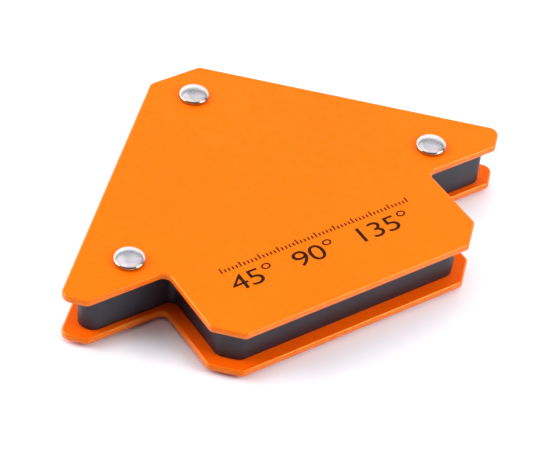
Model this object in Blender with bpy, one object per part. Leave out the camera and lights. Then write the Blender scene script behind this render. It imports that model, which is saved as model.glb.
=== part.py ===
"""Arrow-shaped magnetic holder for welding work: two powder-coated steel plates, riveted over a
moulded spacer that carries five ferrite blocks. The blocks are magnetised through their thickness,
so the two plates are the poles, and steel is held against their edges at 45, 90 and 135 degrees.

Metres, +Z up. The apex points to +Y, the holder lies on its three rivet tails at z = 0, and the
origin is under the middle of the outline."""

import math

import bmesh
import bpy

GAP = 0.0003  # clearance between pieces that touch

# Outline of the plates, seen from above. Every edge runs at a multiple of 45 degrees.
WIDTH = 0.1196  # wing tip to wing tip
APEX_FLAT = 0.0137
WING_CHAMFER = 0.0047  # along X and along Y
TAIL_WIDTH = 0.0708
TAIL_DEPTH = 0.0245  # notch edges down to the base
TAIL_CHAMFER = 0.0057  # along X and along Y
CORNER_RADIUS = 0.0025
CHAMFER_RADIUS = 0.0015  # at the tail's chamfers and the foot of each wing's
NOTCH_RADIUS = 0.0020
HEIGHT = (WIDTH - APEX_FLAT) / 2 + WING_CHAMFER + TAIL_DEPTH
BASE_Y = -HEIGHT / 2
NOTCH_Y = BASE_Y + TAIL_DEPTH
WING_Y = NOTCH_Y + WING_CHAMFER
APEX_Y = HEIGHT / 2

# Levels, from the rivet tails up
TAIL_PROUD = 0.0010  # rivet tails below the bottom plate
PLATE_THICKNESS = 0.0018
PLATE_SPACING = 0.0103  # between the inner faces of the plates
HEAD_PROUD = 0.0015  # rivet heads above the top plate
BOTTOM_PLATE_Z = TAIL_PROUD
CORE_Z = BOTTOM_PLATE_Z + PLATE_THICKNESS + GAP
CORE_THICKNESS = PLATE_SPACING - 2 * GAP
TOP_PLATE_Z = BOTTOM_PLATE_Z + PLATE_THICKNESS + PLATE_SPACING
PLATE_EDGE_CHAMFER = 0.0003

# Spacer: how far each of its sides stands back from the plates' edges
APEX_INSET = 0.0025
SLOPE_INSET = 0.0026
WING_INSET = 0.0030
NOTCH_INSET = 0.0015
TAIL_INSET = 0.0031
SPACER_RADIUS = 0.0030
SPACER_WING_RADIUS = 0.0033
SPACER_EDGE_CHAMFER = 0.0002
SPACER_WALL = 0.0020

# Ferrite blocks
MAGNET_WIDTH = 0.0250
MAGNET_LENGTH = 0.0200
MAGNET_RADIUS = 0.0005
MAGNET_EDGE_CHAMFER = 0.0003
RIB = 0.0010  # between two pockets
POCKET_WIDTH = MAGNET_WIDTH + 2 * GAP
POCKET_LENGTH = MAGNET_LENGTH + 2 * GAP
POCKET_RADIUS = 0.0008
COLUMN_X = (POCKET_WIDTH + RIB) / 2
TAIL_ROW_Y = BASE_Y + TAIL_INSET + SPACER_WALL + POCKET_LENGTH / 2
MIDDLE_ROW_Y = TAIL_ROW_Y + POCKET_LENGTH + RIB
APEX_ROW_Y = MIDDLE_ROW_Y + POCKET_LENGTH + RIB
MAGNET_PLACES = {
    "magnet_tail_left": (-COLUMN_X, TAIL_ROW_Y),
    "magnet_tail_right": (COLUMN_X, TAIL_ROW_Y),
    "magnet_middle_left": (-COLUMN_X, MIDDLE_ROW_Y),
    "magnet_middle_right": (COLUMN_X, MIDDLE_ROW_Y),
    "magnet_apex": (0.0, APEX_ROW_Y),
}

# Triangular cores that keep the moulding's wings from sinking
CORE_LEG = 0.0110
CORE_RADIUS = 0.0010
CORE_CORNER_X = 2 * COLUMN_X + RIB
CORE_CORNER_Y = NOTCH_Y + 0.0150

# Semi-tubular rivets
HEAD_RADIUS = 0.0036
HEAD_RIM = 0.0006  # widest ring above the plate
HEAD_UNDERCUT = 0.0004
SHANK_RADIUS = 0.0020
TAIL_RADIUS = 0.0031
TAIL_BORE_RADIUS = 0.0013
TAIL_BORE_DEPTH = 0.0040
TAIL_EDGE = 0.0003
HOLE_RADIUS = SHANK_RADIUS + GAP
HEAD_DOME_POWER = 2.5  # 2 is an ellipse, more is flatter on top
HEAD_DOME_STEPS = 6
RIVET_PLACES = {
    "rivet_apex": (0.0, APEX_Y - 0.0092),
    "rivet_left": (-0.0410, NOTCH_Y + 0.0070),
    "rivet_right": (0.0410, NOTCH_Y + 0.0070),
}

ARC_STEP = math.radians(11.25)
ROUND_SEGMENTS = 24
SHARP_ANGLE = math.radians(30)


def clear_scene():
    for obj in list(bpy.data.objects):
        bpy.data.objects.remove(obj)


def material(name, colour, roughness, metallic=0.0):
    made = bpy.data.materials.new(name)
    made.use_nodes = True
    made.diffuse_color = (*colour, 1.0)
    shader = made.node_tree.nodes["Principled BSDF"]
    shader.inputs["Base Color"].default_value = (*colour, 1.0)
    shader.inputs["Roughness"].default_value = roughness
    shader.inputs["Metallic"].default_value = metallic
    return made


def add_object(name, bm, mat, location=(0.0, 0.0, 0.0)):
    """Turns the bmesh into a smooth-shaded object whose sharp edges stay sharp."""
    bmesh.ops.recalc_face_normals(bm, faces=bm.faces)
    mesh = bpy.data.meshes.new(name)
    bm.to_mesh(mesh)
    bm.free()
    mesh.materials.append(mat)
    mesh.shade_smooth()
    mesh.set_sharp_from_angle(angle=SHARP_ANGLE)
    return link_mesh(name, mesh, location)


def link_mesh(name, mesh, location):
    obj = bpy.data.objects.new(name, mesh)
    obj.location = location
    bpy.context.scene.collection.objects.link(obj)
    return obj


def crossing(first, second):
    """The point where two lines meet, each given by its normal's angle and its distance."""
    (a, p), (b, q) = first, second
    size = math.sin(b - a)
    x = (p * math.sin(b) - q * math.sin(a)) / size
    y = (q * math.cos(a) - p * math.cos(b)) / size
    return x, y


def turn_between(first, second):
    """The signed turn from one outward normal to the next: negative at a convex corner here."""
    return (second - first + math.pi) % (2 * math.pi) - math.pi


def rounded_loop(lines, radii, inset):
    """Closed loop inside a clockwise run of edges, each (normal's angle, distance). The corner
    after edge i has radii[i]. The loop stands `inset` into the material, which turns an outer
    corner's arc into a smaller one and an inner corner's into a larger one."""
    edges = [(angle, distance - inset) for angle, distance in lines]
    points = []
    for index, edge in enumerate(edges):
        after = edges[(index + 1) % len(edges)]
        turn = turn_between(edge[0], after[0])
        side = 1 if turn < 0 else -1
        radius = radii[index] - side * inset
        centre = crossing(
            (edge[0], edge[1] - side * radius),
            (after[0], after[1] - side * radius),
        )
        steps = max(1, round(abs(turn) / ARC_STEP))
        for step in range(steps + 1):
            angle = edge[0] + turn * step / steps
            x = centre[0] + side * radius * math.cos(angle)
            y = centre[1] + side * radius * math.sin(angle)
            points.append((x, y))
    return points


def arrow_lines(apex, slope, wing, notch, tail):
    """The arrow's twelve edges, each moved in by its inset, clockwise from the apex flat."""
    diagonal = math.sqrt(0.5)
    right = [
        (90, APEX_Y - apex),
        (45, (WIDTH / 2 + WING_Y) * diagonal - slope),
        (-45, (WIDTH / 2 - WING_Y) * diagonal - wing),
        (-90, -NOTCH_Y - notch),
        (0, TAIL_WIDTH / 2 - tail),
        (-45, (TAIL_WIDTH / 2 - BASE_Y - TAIL_CHAMFER) * diagonal - tail),
        (-90, -BASE_Y - tail),
    ]
    left = [(180 - angle, distance) for angle, distance in right[-2:0:-1]]
    return [(math.radians(angle), distance) for angle, distance in right + left]


def arrow_radii(apex, wing_tip, chamfer, notch):
    """Radii in the order of arrow_lines: the corner after each edge."""
    right = [apex, wing_tip, chamfer, notch, chamfer, chamfer]
    return right + right[::-1]


def plate_loop(inset):
    radii = arrow_radii(CORNER_RADIUS, CORNER_RADIUS, CHAMFER_RADIUS, NOTCH_RADIUS)
    return rounded_loop(arrow_lines(0, 0, 0, 0, 0), radii, inset)


def spacer_loop(inset):
    lines = arrow_lines(APEX_INSET, SLOPE_INSET, WING_INSET, NOTCH_INSET, TAIL_INSET)
    radii = arrow_radii(SPACER_RADIUS, SPACER_WING_RADIUS, SPACER_RADIUS, NOTCH_RADIUS)
    return rounded_loop(lines, radii, inset)


def rectangle_loop(centre, width, length, radius, inset):
    x, y = centre
    lines = [
        (math.radians(90), y + length / 2),
        (0.0, x + width / 2),
        (math.radians(-90), length / 2 - y),
        (math.radians(180), width / 2 - x),
    ]
    return rounded_loop(lines, [radius] * 4, inset)


def triangle_loop(side, inset):
    """Right-angled triangle in a wing, its long side along the slope; side is 1 or -1."""
    x, y = CORE_CORNER_X, CORE_CORNER_Y
    diagonal = math.sqrt(0.5)
    lines = [
        (math.radians(45), (x + CORE_LEG + y) * diagonal),
        (math.radians(-90), -y),
        (math.radians(180), -x),
    ]
    loop = rounded_loop(lines, [CORE_RADIUS] * 3, inset)
    return loop if side > 0 else [(-px, py) for px, py in reversed(loop)]


def circle_loop(centre, radius):
    points = []
    for step in range(ROUND_SEGMENTS):
        angle = 2 * math.pi * step / ROUND_SEGMENTS
        x = centre[0] + radius * math.cos(angle)
        y = centre[1] + radius * math.sin(angle)
        points.append((x, y))
    return points


def slab(loops, thickness, chamfer):
    """Flat plate with chamfered rims. Each loop is a function of how far it stands back from the
    edge, and the first is the outline and the rest are holes."""
    bm = bmesh.new()
    levels = (
        (0.0, chamfer),
        (chamfer, 0.0),
        (thickness - chamfer, 0.0),
        (thickness, chamfer),
    )
    caps = {0: [], len(levels) - 1: []}
    for loop in loops:
        rings = [[bm.verts.new((x, y, z)) for x, y in loop(back)] for z, back in levels]
        count = len(rings[0])
        for lower, upper in zip(rings, rings[1:]):
            for i in range(count):
                j = (i + 1) % count
                bm.faces.new((lower[i], lower[j], upper[j], upper[i]))
        for level, edges in caps.items():
            ring = rings[level]
            edges += [bm.edges.get((ring[i], ring[(i + 1) % count])) for i in range(count)]
    for edges in caps.values():
        bmesh.ops.triangle_fill(bm, edges=edges, use_beauty=True)
    return bm


def turned(profile):
    """Solid of revolution about Z. The profile runs from its top on the axis to its bottom there."""
    bm = bmesh.new()
    top = bm.verts.new((0.0, 0.0, profile[0][1]))
    bottom = bm.verts.new((0.0, 0.0, profile[-1][1]))
    rings = []
    for radius, z in profile[1:-1]:
        rings.append([bm.verts.new((x, y, z)) for x, y in circle_loop((0.0, 0.0), radius)])
    for i in range(ROUND_SEGMENTS):
        j = (i + 1) % ROUND_SEGMENTS
        bm.faces.new((top, rings[0][i], rings[0][j]))
        bm.faces.new((bottom, rings[-1][j], rings[-1][i]))
        for upper, lower in zip(rings, rings[1:]):
            bm.faces.new((upper[i], lower[i], lower[j], upper[j]))
    return bm


def rivet_holes():
    return [lambda back, at=at: circle_loop(at, HOLE_RADIUS + back) for at in RIVET_PLACES.values()]


def plate(name, z, mat):
    bm = slab([plate_loop] + rivet_holes(), PLATE_THICKNESS, PLATE_EDGE_CHAMFER)
    return add_object(name, bm, mat, (0.0, 0.0, z))


def spacer(mat):
    pockets = [
        lambda back, at=at: rectangle_loop(at, POCKET_WIDTH, POCKET_LENGTH, POCKET_RADIUS, -back)
        for at in MAGNET_PLACES.values()
    ]
    cores = [lambda back, side=side: triangle_loop(side, -back) for side in (1, -1)]
    loops = [spacer_loop] + rivet_holes() + pockets + cores
    bm = slab(loops, CORE_THICKNESS, SPACER_EDGE_CHAMFER)
    return add_object("spacer_frame", bm, mat, (0.0, 0.0, CORE_Z))


def magnets(mat):
    """Five equal blocks that share one mesh."""
    names = list(MAGNET_PLACES)
    x, y = MAGNET_PLACES[names[0]]
    bm = slab(
        [lambda back: rectangle_loop((0.0, 0.0), MAGNET_WIDTH, MAGNET_LENGTH, MAGNET_RADIUS, back)],
        CORE_THICKNESS,
        MAGNET_EDGE_CHAMFER,
    )
    first = add_object(names[0], bm, mat, (x, y, CORE_Z))
    for name in names[1:]:
        x, y = MAGNET_PLACES[name]
        link_mesh(name, first.data, (x, y, CORE_Z))


def head_profile(seat, top):
    """Low dome with a softly flattened top and a rim that turns in under itself."""
    ring = seat + HEAD_RIM - GAP
    points = []
    for step in range(HEAD_DOME_STEPS + 1):
        angle = math.pi / 2 * (1 - step / HEAD_DOME_STEPS)
        radius = HEAD_RADIUS * math.cos(angle) ** (2 / HEAD_DOME_POWER)
        height = (top - ring) * math.sin(angle) ** (2 / HEAD_DOME_POWER)
        points.append((radius, ring + height))
    points[0] = (0.0, top)
    return points + [(HEAD_RADIUS - HEAD_UNDERCUT, seat)]


def tail_profile(seat):
    """Tail rolled outwards against the bottom plate, and the bore left open inside it."""
    return [
        (TAIL_RADIUS - TAIL_EDGE, seat),
        (TAIL_RADIUS, seat - TAIL_EDGE),
        (TAIL_RADIUS - TAIL_EDGE, TAIL_EDGE / 2),
        (TAIL_RADIUS - 2 * TAIL_EDGE, 0.0),
        (TAIL_BORE_RADIUS + 2 * TAIL_EDGE, 0.0),
        (TAIL_BORE_RADIUS, 2 * TAIL_EDGE),
        (TAIL_BORE_RADIUS, TAIL_BORE_DEPTH),
        (0.0, TAIL_BORE_DEPTH + TAIL_BORE_RADIUS / 2),
    ]


def rivets(mat):
    """Three equal semi-tubular rivets that share one mesh: heads above, rolled tails below."""
    head_seat = TOP_PLATE_Z + PLATE_THICKNESS + GAP
    head_top = TOP_PLATE_Z + PLATE_THICKNESS + HEAD_PROUD
    tail_seat = BOTTOM_PLATE_Z - GAP
    shank = [(SHANK_RADIUS, head_seat), (SHANK_RADIUS, tail_seat)]
    bm = turned(head_profile(head_seat, head_top) + shank + tail_profile(tail_seat))
    names = list(RIVET_PLACES)
    first = add_object(names[0], bm, mat, (*RIVET_PLACES[names[0]], 0.0))
    for name in names[1:]:
        link_mesh(name, first.data, (*RIVET_PLACES[name], 0.0))


def main():
    clear_scene()
    powder_coat = material("orange_powder_coat", (0.93, 0.22, 0.012), 0.32)
    plastic = material("black_moulded_plastic", (0.018, 0.016, 0.018), 0.45)
    ferrite = material("ferrite", (0.045, 0.045, 0.050), 0.75)
    zinc = material("zinc_plated_steel", (0.78, 0.79, 0.80), 0.25, 1.0)
    plate("bottom_plate", BOTTOM_PLATE_Z, powder_coat)
    plate("top_plate", TOP_PLATE_Z, powder_coat)
    spacer(plastic)
    magnets(ferrite)
    rivets(zinc)


main()
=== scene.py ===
import math

import bmesh
import bpy
from mathutils import Matrix, Vector, noise


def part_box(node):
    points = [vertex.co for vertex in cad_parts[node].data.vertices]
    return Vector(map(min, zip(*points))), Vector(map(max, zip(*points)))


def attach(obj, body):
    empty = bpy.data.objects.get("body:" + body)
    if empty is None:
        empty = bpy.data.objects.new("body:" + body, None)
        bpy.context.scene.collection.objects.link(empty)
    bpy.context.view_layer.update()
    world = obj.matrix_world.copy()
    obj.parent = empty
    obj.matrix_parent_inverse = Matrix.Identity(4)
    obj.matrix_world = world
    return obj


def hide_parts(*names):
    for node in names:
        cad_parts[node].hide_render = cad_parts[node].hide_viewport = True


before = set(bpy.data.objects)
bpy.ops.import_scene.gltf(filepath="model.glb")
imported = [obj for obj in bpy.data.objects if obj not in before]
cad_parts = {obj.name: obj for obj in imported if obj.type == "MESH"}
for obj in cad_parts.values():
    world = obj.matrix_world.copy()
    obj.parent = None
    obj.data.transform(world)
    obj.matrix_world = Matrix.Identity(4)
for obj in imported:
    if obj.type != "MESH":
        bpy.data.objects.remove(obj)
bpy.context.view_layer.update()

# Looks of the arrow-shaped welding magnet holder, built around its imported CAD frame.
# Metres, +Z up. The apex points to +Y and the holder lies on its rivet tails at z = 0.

BODY = "root"
MM = 0.001
DIAGONAL = math.sqrt(0.5)

# CAD nodes that come in several
RIVETS = ("rivet_apex", "rivet_left", "rivet_right")
MAGNETS = (
    "magnet_tail_left",
    "magnet_tail_right",
    "magnet_middle_left",
    "magnet_middle_right",
    "magnet_apex",
)

# Levels, read from the frame
BOTTOM_LOW, BOTTOM_HIGH = (corner.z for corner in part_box("bottom_plate"))
TOP_LOW, TOP_HIGH = (corner.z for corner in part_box("top_plate"))
RIVET_LOW, RIVET_HIGH = (corner.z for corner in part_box("rivet_apex"))
PLATE_THICKNESS = TOP_HIGH - TOP_LOW
SEAT_GAP = 0.01 * MM  # left between pieces that rest on each other

# Outline of the plates, as in the CAD source
WIDTH = 119.6 * MM
APEX_FLAT = 13.7 * MM
WING_CHAMFER = 4.7 * MM
TAIL_WIDTH = 70.8 * MM
TAIL_DEPTH = 24.5 * MM
TAIL_CHAMFER = 5.7 * MM
CORNER_RADIUS = 2.5 * MM
CHAMFER_RADIUS = 1.5 * MM
NOTCH_RADIUS = 2.0 * MM
HEIGHT = (WIDTH - APEX_FLAT) / 2 + WING_CHAMFER + TAIL_DEPTH
BASE_Y = -HEIGHT / 2
NOTCH_Y = BASE_Y + TAIL_DEPTH
WING_Y = NOTCH_Y + WING_CHAMFER
APEX_Y = HEIGHT / 2

# Spacer, as in the CAD source
APEX_INSET = 2.5 * MM
SLOPE_INSET = 2.6 * MM
WING_INSET = 3.0 * MM
NOTCH_INSET = 1.5 * MM
TAIL_INSET = 3.1 * MM
SPACER_RADIUS = 3.0 * MM
SPACER_WING_RADIUS = 3.3 * MM
SPACER_EDGE = 0.35 * MM
POCKET_CLEARANCE = 0.3 * MM
POCKET_RADIUS = 0.8 * MM
CORE_RIB = 1.0 * MM  # between a wing's core and the pocket beside it
CORE_RISE = 15.0 * MM  # from the notch's edge to the core
CORE_LEG = 11.0 * MM
CORE_RADIUS = 1.0 * MM

# Rivets
HEAD_RADIUS = 3.6 * MM
HEAD_RIM = 0.62 * MM
HEAD_UNDERCUT = 0.42 * MM
HEAD_DOME_POWER = 2.5
HEAD_STEPS = 28
UNDERCUT_STEPS = 6
SHANK_RADIUS = 2.2 * MM
SHANK_FLARE = 0.2 * MM
HOLE_RADIUS = 2.3 * MM
TAIL_RADIUS = 3.1 * MM
TAIL_UNDERCUT = 0.25 * MM
TAIL_ROLL = 0.62  # share of the tail's height that its round underside takes
TAIL_STEPS = 14
TAIL_BORE_RADIUS = 1.3 * MM
TAIL_BORE_HIGH = 4.0 * MM

# Magnets
MAGNET_BEVEL = 0.2 * MM

# Rims of the plates under their coat
UPPER_RIM = 0.60 * MM
LOWER_RIM = 0.45 * MM
RIM_STEPS = 8
HOLD = 0.06 * MM  # flat strip beside each rim, which keeps the faces' shading flat
COAT_WAVE = 0.02 * MM
COAT_WAVE_SCALE = 260.0

# Colours of each surface, from its darker to its lighter places
UPPER_COAT = ((0.92, 0.143, 0.0014), (0.94, 0.153, 0.0018))
# The lower plate has the same orange coat as the upper one. Its redder, darker copy is painted
# shade from the top plate over it.
LOWER_COAT_SHADED = ((0.92, 0.110, 0.0012), (0.94, 0.120, 0.0016))
# Rims and sides of the plates are painted paler than the flat faces: painted light where the
# softboxes catch them.
RIM_COAT_LIT = ((0.92, 0.148, 0.003), (0.94, 0.173, 0.005))
PLASTIC = ((0.0091, 0.0095, 0.0167), (0.0129, 0.0133, 0.0236))
FERRITE = ((0.035, 0.035, 0.038), (0.065, 0.064, 0.068))
ZINC = ((0.430, 0.470, 0.510), (0.520, 0.520, 0.510))
# Warm colour of the rivets below the crown, a painted reflection of the orange plates
ZINC_RIM_REFLECTION = (0.470, 0.425, 0.375)
ZINC_BLUSH = (0.520, 0.440, 0.530)
INK = ((0.014, 0.007, 0.002), (0.026, 0.013, 0.004))
FLOOR = ((0.900, 0.918, 0.972), (0.918, 0.936, 0.991))

# The coat's reflections: level and tint along the rims and on the flat faces
RIM_GLOSS = 0.55
FLAT_GLOSS = 0.14
RIM_TINT = (1.0, 0.88, 0.30)
FLAT_TINT = (1.0, 0.60, 0.10)

# Heights of the surfaces' bumps
PEEL_BUMP = 0.004 * MM
SPARK_BUMP = 0.02 * MM
GRAIN_BUMP = 0.03 * MM
PLATING_BUMP = 0.006 * MM
INK_BUMP = 0.004 * MM

# How finely outlines and turned pieces are divided
ARC_STEP = math.radians(5)
RUN_STEP = 1.5 * MM
ROUND_STEPS = 96

# Camera
CAMERA_LENS = 141.56
CAMERA_SENSOR = 36.0
CAMERA_AT = Vector((-0.215182, -0.300889, 0.354875))
CAMERA_AIM = Vector((-0.006222, -0.015008, 0.0149))
CAMERA_ROLL = math.radians(5.990)

# Room. Azimuths run from +X towards +Y.
BACK_AZIMUTH = math.radians(66.0)
LEFT_AZIMUTH = math.radians(154.0)
WALL_DARK = 0.05
WALL_LIGHT = 1.60
LOW_WALL = 1.30  # how much brighter the wall is below its dark strip
LEFT_WALL = 1.22  # how much brighter the room's left half is
CEILING_LIGHT = 1.70
STRIP_EDGES = (math.radians(34.5), math.radians(41.5))  # elevations
SEAM_EDGES = (math.radians(60.5), math.radians(64.5))  # azimuths
SEAM_DEPTH = 0.60
DARKEST = 0.97
ROOM_TINT = (1.0, 1.0, 1.01)
FLOOR_HALF = 3.0
FLOOR_Z = -0.02 * MM

# Softboxes: azimuth and elevation in degrees, width, height and radiance
SOFTBOX_DISTANCE = 0.9
SOFTBOXES = {
    "softbox_right": (311.0, 34.0, 0.50, 0.45, 9.3),
    "softbox_left": (146.0, 31.0, 0.55, 0.45, 7.6),
    "softbox_front": (234.0, 54.0, 0.70, 0.60, 0.15),
}


def centre_of(node):
    low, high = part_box(node)
    return (low + high) / 2


# ---------------------------------------------------------------- outlines


def crossing(first, second):
    """The point where two lines meet, each given by its normal's angle and its distance."""
    (a, p), (b, q) = first, second
    size = math.sin(b - a)
    x = (p * math.sin(b) - q * math.sin(a)) / size
    y = (q * math.cos(a) - p * math.cos(b)) / size
    return x, y


def corner_arcs(lines, radii, inset):
    """One list of points per corner of a clockwise run of edges, (normal's angle, distance)."""
    edges = [(angle, distance - inset) for angle, distance in lines]
    arcs = []
    for index, edge in enumerate(edges):
        after = edges[(index + 1) % len(edges)]
        turn = (after[0] - edge[0] + math.pi) % (2 * math.pi) - math.pi
        side = 1 if turn < 0 else -1
        radius = radii[index] - side * inset
        centre = crossing(
            (edge[0], edge[1] - side * radius),
            (after[0], after[1] - side * radius),
        )
        steps = max(1, round(abs(turn) / ARC_STEP))
        arc = []
        for step in range(steps + 1):
            angle = edge[0] + turn * step / steps
            x = centre[0] + side * radius * math.cos(angle)
            y = centre[1] + side * radius * math.sin(angle)
            arc.append((x, y))
        arcs.append(arc)
    return arcs


def run_counts(arcs):
    """How many steps each straight run between two corners is divided into."""
    counts = []
    for index, arc in enumerate(arcs):
        run = math.dist(arc[-1], arcs[(index + 1) % len(arcs)][0])
        counts.append(max(1, round(run / RUN_STEP)))
    return counts


def outline(lines, radii):
    """A function that gives the closed loop at an inset, always with as many points."""
    counts = run_counts(corner_arcs(lines, radii, 0.0))

    def loop(inset):
        arcs = corner_arcs(lines, radii, inset)
        points = []
        for index, arc in enumerate(arcs):
            points += arc
            (ax, ay), (bx, by) = arc[-1], arcs[(index + 1) % len(arcs)][0]
            for step in range(1, counts[index]):
                share = step / counts[index]
                points.append((ax + (bx - ax) * share, ay + (by - ay) * share))
        return points

    return loop


def arrow_lines(apex, slope, wing, notch, tail):
    """The arrow's twelve edges, each moved in by its inset, clockwise from the apex flat."""
    right = [
        (90, APEX_Y - apex),
        (45, (WIDTH / 2 + WING_Y) * DIAGONAL - slope),
        (-45, (WIDTH / 2 - WING_Y) * DIAGONAL - wing),
        (-90, -NOTCH_Y - notch),
        (0, TAIL_WIDTH / 2 - tail),
        (-45, (TAIL_WIDTH / 2 - BASE_Y - TAIL_CHAMFER) * DIAGONAL - tail),
        (-90, -BASE_Y - tail),
    ]
    left = [(180 - angle, distance) for angle, distance in right[-2:0:-1]]
    return [(math.radians(angle), distance) for angle, distance in right + left]


def arrow_radii(apex, wing_tip, chamfer, notch):
    right = [apex, wing_tip, chamfer, notch, chamfer, chamfer]
    return right + right[::-1]


def plate_outline():
    radii = arrow_radii(CORNER_RADIUS, CORNER_RADIUS, CHAMFER_RADIUS, NOTCH_RADIUS)
    return outline(arrow_lines(0, 0, 0, 0, 0), radii)


def spacer_outline():
    lines = arrow_lines(APEX_INSET, SLOPE_INSET, WING_INSET, NOTCH_INSET, TAIL_INSET)
    radii = arrow_radii(SPACER_RADIUS, SPACER_WING_RADIUS, SPACER_RADIUS, NOTCH_RADIUS)
    return outline(lines, radii)


def hole_outline(centre, radius):
    def loop(inset):
        points = []
        for step in range(ROUND_STEPS):
            angle = 2 * math.pi * step / ROUND_STEPS
            x = centre.x + (radius + inset) * math.cos(angle)
            y = centre.y + (radius + inset) * math.sin(angle)
            points.append((x, y))
        return points

    return loop


def pocket_outline(node):
    low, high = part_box(node)
    lines = [
        (math.radians(90), high.y + POCKET_CLEARANCE),
        (0.0, high.x + POCKET_CLEARANCE),
        (math.radians(-90), -low.y + POCKET_CLEARANCE),
        (math.radians(180), -low.x + POCKET_CLEARANCE),
    ]
    loop = outline(lines, [POCKET_RADIUS] * 4)
    return lambda inset: loop(-inset)


def core_outline(side):
    """Triangular core in a wing; side is 1 or -1."""
    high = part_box("magnet_tail_right")[1]
    x = high.x + POCKET_CLEARANCE + CORE_RIB
    y = NOTCH_Y + CORE_RISE
    lines = [
        (math.radians(45), (x + CORE_LEG + y) * DIAGONAL),
        (math.radians(-90), -y),
        (math.radians(180), -x),
    ]
    loop = outline(lines, [CORE_RADIUS] * 3)

    def mirrored(inset):
        points = loop(-inset)
        return points if side > 0 else [(-px, py) for px, py in reversed(points)]

    return mirrored


# ---------------------------------------------------------------- meshes


def rim_profile(thickness, lower, upper):
    """(inset, height) pairs of a slab's rim, from its lower face round to its upper face."""
    profile = [(lower + HOLD, 0.0)]
    for step in range(RIM_STEPS + 1):
        angle = math.pi / 2 * step / RIM_STEPS
        profile.append((lower * (1 - math.sin(angle)), lower * (1 - math.cos(angle))))
    middle = (lower + thickness - upper) / 2
    profile.append((0.0, middle))
    for step in range(RIM_STEPS + 1):
        angle = math.pi / 2 * step / RIM_STEPS
        profile.append((upper * (1 - math.cos(angle)), thickness - upper * (1 - math.sin(angle))))
    profile.append((upper + HOLD, thickness))
    return profile


def slab(loops, low, profile):
    """Closed flat solid. The first loop is the outline, and the rest are holes through it."""
    bm = bmesh.new()
    bottom, top = [], []
    for loop in loops:
        rings = []
        for inset, height in profile:
            rings.append([bm.verts.new((x, y, low + height)) for x, y in loop(inset)])
        count = len(rings[0])
        for lower, upper in zip(rings, rings[1:]):
            for i in range(count):
                j = (i + 1) % count
                bm.faces.new((lower[i], lower[j], upper[j], upper[i]))
        for ring, edges in ((rings[0], bottom), (rings[-1], top)):
            edges += [bm.edges.get((ring[i], ring[(i + 1) % count])) for i in range(count)]
    for edges in (bottom, top):
        bmesh.ops.triangle_fill(bm, edges=edges, use_beauty=True)
    bmesh.ops.recalc_face_normals(bm, faces=bm.faces)
    return bm


def turned(profile, centre):
    """Solid of revolution, from its top on the axis round to its bottom there."""
    bm = bmesh.new()
    top = bm.verts.new((centre.x, centre.y, profile[0][1]))
    bottom = bm.verts.new((centre.x, centre.y, profile[-1][1]))
    rings = []
    for radius, z in profile[1:-1]:
        ring = []
        for step in range(ROUND_STEPS):
            angle = 2 * math.pi * step / ROUND_STEPS
            x = centre.x + radius * math.cos(angle)
            y = centre.y + radius * math.sin(angle)
            ring.append(bm.verts.new((x, y, z)))
        rings.append(ring)
    for i in range(ROUND_STEPS):
        j = (i + 1) % ROUND_STEPS
        bm.faces.new((top, rings[0][i], rings[0][j]))
        bm.faces.new((bottom, rings[-1][j], rings[-1][i]))
        for upper, lower in zip(rings, rings[1:]):
            bm.faces.new((upper[i], lower[i], lower[j], upper[j]))
    bmesh.ops.recalc_face_normals(bm, faces=bm.faces)
    return bm


def add_piece(name, bm, mat):
    mesh = bpy.data.meshes.new(name)
    bm.to_mesh(mesh)
    bm.free()
    mesh.materials.append(mat)
    mesh.shade_smooth()
    obj = bpy.data.objects.new(name, mesh)
    bpy.context.scene.collection.objects.link(obj)
    return obj


# ---------------------------------------------------------------- materials


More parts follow.
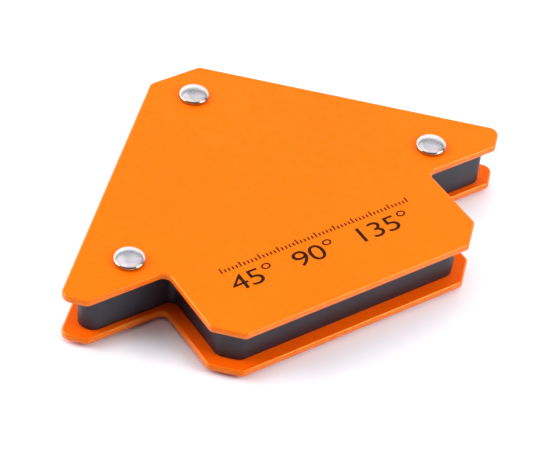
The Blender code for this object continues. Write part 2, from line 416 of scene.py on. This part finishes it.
class Nodes:
    """Short calls for building the node tree of a material or a world."""

    def __init__(self, owner, shader):
        owner.use_nodes = True
        self.owner = owner
        self.tree = owner.node_tree
        self.shader = self.tree.nodes[shader]

    @classmethod
    def of_material(cls, name):
        return cls(bpy.data.materials.new(name), "Principled BSDF")

    def add(self, kind, **settings):
        node = self.tree.nodes.new(kind)
        for key, value in settings.items():
            setattr(node, key, value)
        return node

    def feed(self, socket, value):
        if isinstance(value, bpy.types.NodeSocket):
            self.tree.links.new(value, socket)
        else:
            socket.default_value = value

    def set(self, **values):
        for key, value in values.items():
            self.feed(self.shader.inputs[key.replace("_", " ")], value)

    def place(self):
        return self.add("ShaderNodeTexCoord").outputs["Object"]

    def facing(self):
        return self.add("ShaderNodeTexCoord").outputs["Normal"]

    def noise(self, place, scale, detail=2.0, roughness=0.5):
        node = self.add("ShaderNodeTexNoise")
        self.feed(node.inputs["Vector"], place)
        node.inputs["Scale"].default_value = scale
        node.inputs["Detail"].default_value = detail
        node.inputs["Roughness"].default_value = roughness
        return node.outputs["Fac"]

    def stretch(self, place, scale):
        node = self.add("ShaderNodeMapping")
        self.feed(node.inputs["Vector"], place)
        node.inputs["Scale"].default_value = scale
        return node.outputs["Vector"]

    def remap(self, value, low, high, to_low, to_high):
        node = self.add("ShaderNodeMapRange")
        self.feed(node.inputs["Value"], value)
        keys = ("From Min", "From Max", "To Min", "To Max")
        for key, number in zip(keys, (low, high, to_low, to_high)):
            self.feed(node.inputs[key], number)
        return node.outputs["Result"]

    def split(self, vector):
        node = self.add("ShaderNodeSeparateXYZ")
        self.feed(node.inputs["Vector"], vector)
        return node.outputs["X"], node.outputs["Y"], node.outputs["Z"]

    def dot(self, vector, direction):
        node = self.add("ShaderNodeVectorMath", operation="DOT_PRODUCT")
        self.feed(node.inputs[0], vector)
        node.inputs[1].default_value = direction
        return node.outputs["Value"]

    def band(self, value, low, high, soft):
        """1 between low and high, falling to 0 over `soft` on either side."""
        rise = self.remap(value, low - soft, low, 0.0, 1.0)
        fall = self.remap(value, high, high + soft, 1.0, 0.0)
        return self.math("MULTIPLY", rise, fall)

    def math(self, operation, *values):
        node = self.add("ShaderNodeMath", operation=operation)
        for socket, value in zip(node.inputs, values):
            self.feed(socket, value)
        return node.outputs["Value"]

    def mix(self, share, first, second):
        """From the first colour at a share of 0 to the second at 1."""
        node = self.add("ShaderNodeMix", data_type="RGBA")
        self.feed(node.inputs["Factor"], share)
        for key, value in (("A", first), ("B", second)):
            socket = next(s for s in node.inputs if s.name == key and s.type == "RGBA")
            self.feed(socket, value if isinstance(value, bpy.types.NodeSocket) else (*value, 1.0))
        return next(s for s in node.outputs if s.type == "RGBA")

    def bump(self, height, distance, strength):
        node = self.add("ShaderNodeBump")
        self.feed(node.inputs["Height"], height)
        node.inputs["Distance"].default_value = distance
        node.inputs["Strength"].default_value = strength
        return node.outputs["Normal"]


def powder_coat(name, dark, light):
    """Orange powder coat with a fine orange peel. Its rims and sides are painted paler (painted
    light) and are glossier.
    """
    n = Nodes.of_material(name)
    place = n.place()
    cloud = n.noise(place, 45.0, 3.0)
    fine = n.noise(place, 500.0, 2.0)
    body = n.mix(n.remap(cloud, 0.3, 0.7, 0.0, 1.0), dark, light)
    peel = n.noise(place, 380.0, 1.0)
    upright = n.math("ABSOLUTE", n.split(n.facing())[2])
    flat = n.remap(upright, 0.90, 0.99, 0.0, 1.0)
    # Paler colour on the rims and sides, painted light
    rim_light = n.mix(n.remap(fine, 0.35, 0.65, 0.0, 1.0), *RIM_COAT_LIT)
    roughness = n.remap(fine, 0.3, 0.7, 0.17, 0.23)
    n.set(
        Base_Color=n.mix(flat, rim_light, body),
        Roughness=n.math("ADD", roughness, n.math("MULTIPLY", flat, 0.08)),
        Specular_IOR_Level=n.remap(flat, 0.0, 1.0, RIM_GLOSS, FLAT_GLOSS),
        Specular_Tint=n.mix(flat, RIM_TINT, FLAT_TINT),
        Normal=n.bump(peel, PEEL_BUMP, 0.3),
    )
    return n.owner


def plastic():
    """Black moulding with a fine spark-eroded grain."""
    n = Nodes.of_material("black_moulding")
    place = n.place()
    cloud = n.noise(place, 120.0, 3.0)
    spark = n.noise(place, 4200.0, 3.0, 0.65)
    n.set(
        Base_Color=n.mix(cloud, *PLASTIC),
        Roughness=n.remap(cloud, 0.3, 0.7, 0.42, 0.54),
        Normal=n.bump(spark, SPARK_BUMP, 0.5),
    )
    return n.owner


def ferrite():
    n = Nodes.of_material("sintered_ferrite")
    place = n.place()
    cloud = n.noise(place, 300.0, 4.0)
    grain = n.noise(place, 6000.0, 3.0, 0.7)
    n.set(
        Base_Color=n.mix(cloud, *FERRITE),
        Roughness=n.remap(cloud, 0.3, 0.7, 0.62, 0.82),
        Normal=n.bump(grain, GRAIN_BUMP, 0.6),
    )
    return n.owner


def zinc():
    """Bright zinc plating with a faint blush. Below the crown it is painted warmer: a painted
    reflection of the orange plates in the heads' rims.
    """
    n = Nodes.of_material("zinc_plating")
    place = n.place()
    tint = n.noise(place, 420.0, 2.0)
    fine = n.noise(n.stretch(place, (1.0, 2.2, 1.0)), 2600.0, 3.0, 0.6)
    blush = n.noise(place, 700.0, 1.0)
    silver = n.mix(n.remap(tint, 0.35, 0.65, 0.0, 1.0), *ZINC)
    # Below the crown the colour turns warm: a painted reflection of the orange plates.
    crown = n.remap(n.split(n.facing())[2], 0.975, 0.995, 0.0, 1.0)
    silver = n.mix(crown, ZINC_RIM_REFLECTION, silver)
    n.set(
        Base_Color=n.mix(n.remap(blush, 0.45, 0.65, 0.0, 0.8), silver, ZINC_BLUSH),
        Metallic=1.0,
        Roughness=n.remap(fine, 0.3, 0.7, 0.18, 0.26),
        Normal=n.bump(fine, PLATING_BUMP, 0.5),
    )
    return n.owner


def ink():
    n = Nodes.of_material("print_ink")
    place = n.place()
    cloud = n.noise(place, 1500.0, 3.0)
    n.set(
        Base_Color=n.mix(cloud, *INK),
        Roughness=n.remap(cloud, 0.3, 0.7, 0.40, 0.52),
        Specular_IOR_Level=0.03,
        Normal=n.bump(cloud, INK_BUMP, 0.5),
    )
    return n.owner


def floor_paper():
    n = Nodes.of_material("pale_floor")
    place = n.place()
    cloud = n.noise(place, 6.0, 2.0)
    n.set(
        Base_Color=n.mix(cloud, *FLOOR),
        Roughness=n.remap(cloud, 0.3, 0.7, 0.30, 0.36),
    )
    return n.owner


# ---------------------------------------------------------------- pieces


def coat_wave(bm):
    """Move the rims in a little here and there, where the coat is thinner."""
    for vert in bm.verts:
        wave = noise.noise(vert.co * COAT_WAVE_SCALE) - 1.0
        if abs(vert.normal.z) < 0.95:
            sideways = Vector((vert.normal.x, vert.normal.y, 0.0))
            vert.co += sideways * wave * COAT_WAVE / 2


def rivet_holes():
    return [hole_outline(centre_of(rivet), HOLE_RADIUS) for rivet in RIVETS]


def make_plate(node, low, mat):
    profile = rim_profile(PLATE_THICKNESS, LOWER_RIM, UPPER_RIM)
    bm = slab([plate_outline()] + rivet_holes(), low, profile)
    bm.normal_update()
    coat_wave(bm)
    piece = add_piece(node + "_coated", bm, mat)
    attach(piece, BODY)
    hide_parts(node)


def make_spacer(mat):
    low = BOTTOM_HIGH + SEAT_GAP
    high = TOP_LOW - SEAT_GAP
    pockets = [pocket_outline(magnet) for magnet in MAGNETS]
    cores = [core_outline(1), core_outline(-1)]
    profile = rim_profile(high - low, SPACER_EDGE, SPACER_EDGE)
    bm = slab([spacer_outline()] + rivet_holes() + pockets + cores, low, profile)
    piece = add_piece("spacer_moulding", bm, mat)
    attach(piece, BODY)
    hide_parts("spacer_frame")


def head_profile():
    """Low dome with a rounded rim that turns in under itself to the plate."""
    rim = TOP_HIGH + SEAT_GAP + HEAD_RIM
    points = [(0.0, RIVET_HIGH)]
    for step in range(1, HEAD_STEPS + 1):
        angle = math.pi / 2 * (1 - step / HEAD_STEPS)
        radius = HEAD_RADIUS * math.cos(angle) ** (2 / HEAD_DOME_POWER)
        height = (RIVET_HIGH - rim) * math.sin(angle) ** (2 / HEAD_DOME_POWER)
        points.append((radius, rim + height))
    for step in range(1, UNDERCUT_STEPS + 1):
        angle = math.pi / 2 * step / UNDERCUT_STEPS
        radius = HEAD_RADIUS - HEAD_UNDERCUT * (1 - math.cos(angle))
        points.append((radius, rim - HEAD_RIM * math.sin(angle)))
    return points


def tail_profile():
    """Tail rolled outwards against the lower plate, round an open bore."""
    seat = BOTTOM_LOW - SEAT_GAP
    middle = (TAIL_RADIUS + TAIL_BORE_RADIUS) / 2
    half = (TAIL_RADIUS - TAIL_BORE_RADIUS) / 2
    points = [(TAIL_RADIUS - TAIL_UNDERCUT, seat)]
    for step in range(TAIL_STEPS + 1):
        angle = math.pi * step / TAIL_STEPS
        radius = middle + half * math.cos(angle)
        points.append((radius, seat * TAIL_ROLL * (1 - math.sin(angle)) + RIVET_LOW))
    # The bore narrows a little upwards, to a coned end
    points.append((TAIL_BORE_RADIUS * 0.97, seat + 0.6 * MM))
    points.append((TAIL_BORE_RADIUS * 0.95, TAIL_BORE_HIGH))
    points.append((TAIL_BORE_RADIUS * 0.6, TAIL_BORE_HIGH + 0.4 * MM))
    points.append((0.0, TAIL_BORE_HIGH + 0.6 * MM))
    return points


def shank_profile():
    return [
        (SHANK_RADIUS + SHANK_FLARE, TOP_HIGH + SEAT_GAP),
        (SHANK_RADIUS, TOP_HIGH - SHANK_FLARE),
        (SHANK_RADIUS, BOTTOM_LOW + SHANK_FLARE),
        (SHANK_RADIUS + SHANK_FLARE, BOTTOM_LOW - SEAT_GAP),
    ]


def make_rivets(mat):
    profile = head_profile() + shank_profile() + tail_profile()
    for node in RIVETS:
        bm = turned(profile, centre_of(node))
        piece = add_piece(node + "_plated", bm, mat)
        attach(piece, BODY)
        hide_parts(node)


def dress_magnets(mat):
    for name in MAGNETS:
        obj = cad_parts[name]
        obj.data.materials.clear()
        obj.data.materials.append(mat)
        bevel = obj.modifiers.new("rounded_edges", "BEVEL")
        bevel.width = MAGNET_BEVEL
        bevel.segments = 3


# ---------------------------------------------------------------- print

PRINT_LIFT = 0.01 * MM
INK_THICKNESS = 0.02 * MM
PRINT_LEFT = -25.0 * MM
PRINT_Y = BASE_Y + 11.9 * MM

# Figures
FIGURE_HEIGHT = 4.9 * MM
FIGURE_STRETCH = 1.30
FIGURE_SPACING = 0.95
FIGURE_GAP = 5.0 * MM
CAP_SHARE = 0.73  # height of the built-in font's figures for a size of 1

# Scale over the figures
TICK_COUNT = 51
TICK_STEP = 1.0 * MM
TICK_WIDTH = 0.38 * MM
TICK_HEIGHT = 1.0 * MM
FIFTH_TICK_HEIGHT = 1.6 * MM
SCALE_Y = PRINT_Y + 6.4 * MM


def print_piece(name, bm, mat):
    piece = add_piece(name, bm, mat)
    for polygon in piece.data.polygons:
        polygon.use_smooth = False
    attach(piece, BODY)


def figures(text, left):
    """The built-in font's figures as thin closed solids, and the x where they end."""
    curve = bpy.data.curves.new("figures", "FONT")
    curve.body = text
    curve.size = FIGURE_HEIGHT / CAP_SHARE
    curve.space_character = FIGURE_SPACING
    curve.extrude = INK_THICKNESS / 2
    curve.resolution_u = 6
    holder = bpy.data.objects.new("figures", curve)
    bpy.context.scene.collection.objects.link(holder)
    bpy.context.view_layer.update()
    depsgraph = bpy.context.evaluated_depsgraph_get()
    mesh = bpy.data.meshes.new_from_object(holder.evaluated_get(depsgraph))
    bpy.data.objects.remove(holder)
    bm = bmesh.new()
    bm.from_mesh(mesh)
    bpy.data.meshes.remove(mesh)
    bmesh.ops.remove_doubles(bm, verts=bm.verts, dist=1e-7)
    thick = max(vert.co.z for vert in bm.verts) * 2
    for vert in bm.verts:
        vert.co.x = left + vert.co.x * FIGURE_STRETCH
        vert.co.y += PRINT_Y
        vert.co.z = TOP_HIGH + PRINT_LIFT + (vert.co.z / thick + 0.5) * INK_THICKNESS
    bmesh.ops.recalc_face_normals(bm, faces=bm.faces)
    return bm, max(vert.co.x for vert in bm.verts)


def inked(outlines):
    """A thin solid from each flat outline."""
    bm = bmesh.new()
    profile = ((0.0, 0.0), (0.0, INK_THICKNESS))
    for points in outlines:
        part = slab([lambda inset, points=points: points], TOP_HIGH + PRINT_LIFT, profile)
        mesh = bpy.data.meshes.new("ink")
        part.to_mesh(mesh)
        part.free()
        bm.from_mesh(mesh)
        bpy.data.meshes.remove(mesh)
    return bm


def upright_bar(x, low, width, height):
    return [(x, low), (x, low + height), (x + width, low + height), (x + width, low)]


def scale_ticks():
    """Fine scale above the figures, with every fifth tick taller."""
    ticks = []
    for index in range(TICK_COUNT):
        height = FIFTH_TICK_HEIGHT if index % 5 == 0 else TICK_HEIGHT
        x = PRINT_LEFT + index * TICK_STEP
        ticks.append(upright_bar(x, SCALE_Y, TICK_WIDTH, height))
    return ticks


def make_print(mat):
    left = PRINT_LEFT
    for name, text in (("print_45", "45°"), ("print_90", "90°"), ("print_135", "135°")):
        bm, end = figures(text, left)
        print_piece(name, bm, mat)
        left = end + FIGURE_GAP
    print_piece("print_scale", inked(scale_ticks()), mat)


# ---------------------------------------------------------------- stage


def aim(obj, location, target, roll=0.0):
    obj.location = location
    turn = (target - location).to_track_quat("-Z", "Y").to_matrix().to_4x4()
    obj.matrix_world = Matrix.Translation(location) @ turn @ Matrix.Rotation(roll, 4, "Z")


def make_camera():
    data = bpy.data.cameras.new("camera")
    data.lens = CAMERA_LENS
    data.sensor_width = CAMERA_SENSOR
    data.clip_start = 0.01
    camera = bpy.data.objects.new("camera", data)
    bpy.context.scene.collection.objects.link(camera)
    aim(camera, CAMERA_AT, CAMERA_AIM, CAMERA_ROLL)
    bpy.context.scene.camera = camera


def make_floor():
    bm = bmesh.new()
    bmesh.ops.create_grid(bm, x_segments=8, y_segments=8, size=FLOOR_HALF)
    floor = add_piece("floor", bm, floor_paper())
    floor.location.z = FLOOR_Z


def make_world():
    """Studio: bright behind the object and overhead, brighter on its left, and dark behind the
    camera. A dark strip round it and a dark seam up it show in the rivets."""
    world = bpy.data.worlds.new("studio")
    bpy.context.scene.world = world
    n = Nodes(world, "Background")
    place = n.add("ShaderNodeTexCoord").outputs["Generated"]
    x, y, z = n.split(place)
    behind = n.dot(place, (math.cos(BACK_AZIMUTH), math.sin(BACK_AZIMUTH), 0.0))
    wall = n.remap(behind, 0.10, 0.60, WALL_DARK, WALL_LIGHT)
    wall = n.math("MULTIPLY", wall, n.remap(z, 0.55, 0.62, LOW_WALL, 1.0))
    ceiling = n.remap(z, 0.72, 0.90, 0.0, CEILING_LIGHT)
    ceiling = n.math("MULTIPLY", ceiling, n.remap(behind, -0.30, -0.05, 0.0, 1.0))
    left = n.dot(place, (math.cos(LEFT_AZIMUTH), math.sin(LEFT_AZIMUTH), 0.0))
    level = n.math("MAXIMUM", wall, ceiling)
    level = n.math("MULTIPLY", level, n.remap(left, 0.0, 0.08, 1.0, LEFT_WALL))

    strip = n.band(z, math.sin(STRIP_EDGES[0]), math.sin(STRIP_EDGES[1]), 0.012)
    seam = n.band(n.math("ARCTAN2", y, x), *SEAM_EDGES, 0.01)
    seam = n.math("MULTIPLY", seam, n.remap(z, 0.60, 0.66, 0.0, SEAM_DEPTH))
    dark = n.math("MULTIPLY", n.math("MAXIMUM", strip, seam), DARKEST)
    level = n.math("MULTIPLY", level, n.math("SUBTRACT", 1.0, dark))

    colour = n.add("ShaderNodeCombineColor")
    for name, share in zip(("Red", "Green", "Blue"), ROOM_TINT):
        n.feed(colour.inputs[name], n.math("MULTIPLY", level, share))
    n.feed(n.shader.inputs["Color"], colour.outputs["Color"])
    n.shader.inputs["Strength"].default_value = 1.0


def softbox(name, azimuth, elevation, width, height, radiance):
    """Area light aimed at the object, placed by its direction in degrees."""
    data = bpy.data.lights.new(name, "AREA")
    data.shape = "RECTANGLE"
    data.size = width
    data.size_y = height
    data.energy = radiance * math.pi * width * height
    light = bpy.data.objects.new(name, data)
    light.visible_camera = False
    bpy.context.scene.collection.objects.link(light)
    azimuth, elevation = math.radians(azimuth), math.radians(elevation)
    level = math.cos(elevation)
    place = Vector((level * math.cos(azimuth), level * math.sin(azimuth), math.sin(elevation)))
    aim(light, place * SOFTBOX_DISTANCE, Vector((0.0, 0.0, 0.0)))


def make_light():
    for name, settings in SOFTBOXES.items():
        softbox(name, *settings)


def main():
    # The lower plate's coat is painted darker and redder: painted shade under the top plate.
    make_plate("bottom_plate", BOTTOM_LOW, powder_coat("orange_coat_lower_shaded", *LOWER_COAT_SHADED))
    make_plate("top_plate", TOP_LOW, powder_coat("orange_coat_upper", *UPPER_COAT))
    make_spacer(plastic())
    make_rivets(zinc())
    dress_magnets(ferrite())
    make_print(ink())
    make_floor()
    make_camera()
    make_world()
    make_light()
    bpy.context.scene.view_settings.view_transform = "Standard"


main()
